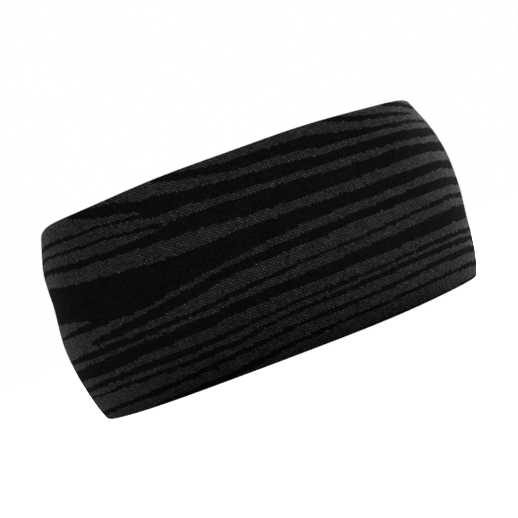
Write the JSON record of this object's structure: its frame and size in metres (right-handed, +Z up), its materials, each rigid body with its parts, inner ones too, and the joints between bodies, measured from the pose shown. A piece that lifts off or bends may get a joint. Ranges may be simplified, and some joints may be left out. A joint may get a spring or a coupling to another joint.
{
  "type": "sports headband",
  "caption": "Double-layer knitted headband for sport: an oval loop with a striped jacquard outer cloth, a plain lining, sewn edges and a blank care label inside the back.",
  "frame": {"origin": "on the floor plane under the middle of the oval loop", "axes": "+Z up out of the head opening; +X along the long side of the oval; -Y is the wearer's front and +Y the back seam"},
  "size_m": [0.193, 0.141, 0.086],
  "materials": {
    "outer_knit": "matte",
    "lining_knit": "matte",
    "seam_thread": "satin",
    "label_cloth": "satin"
  },
  "bodies": {
    "band": {"outer_band": "outer_knit", "lining_band": "lining_knit", "upper_edge_seam_thread": "seam_thread", "lower_edge_seam_thread": "seam_thread", "outer_back_seam_thread": "seam_thread", "lining_back_seam_thread": "seam_thread", "care_label_sewn_edge": "label_cloth", "care_label_stitching": "seam_thread"},
    "care_label": {"care_label_flap": "label_cloth"}
  },
  "joints": [
    {"name": "care_label_fold", "type": "hinge", "parent": "band", "child": "care_label", "pos_m": [0, 0.06285, 0.07235], "axis": [-1, 0, 0], "range_deg": [0, 110]}
  ]
}
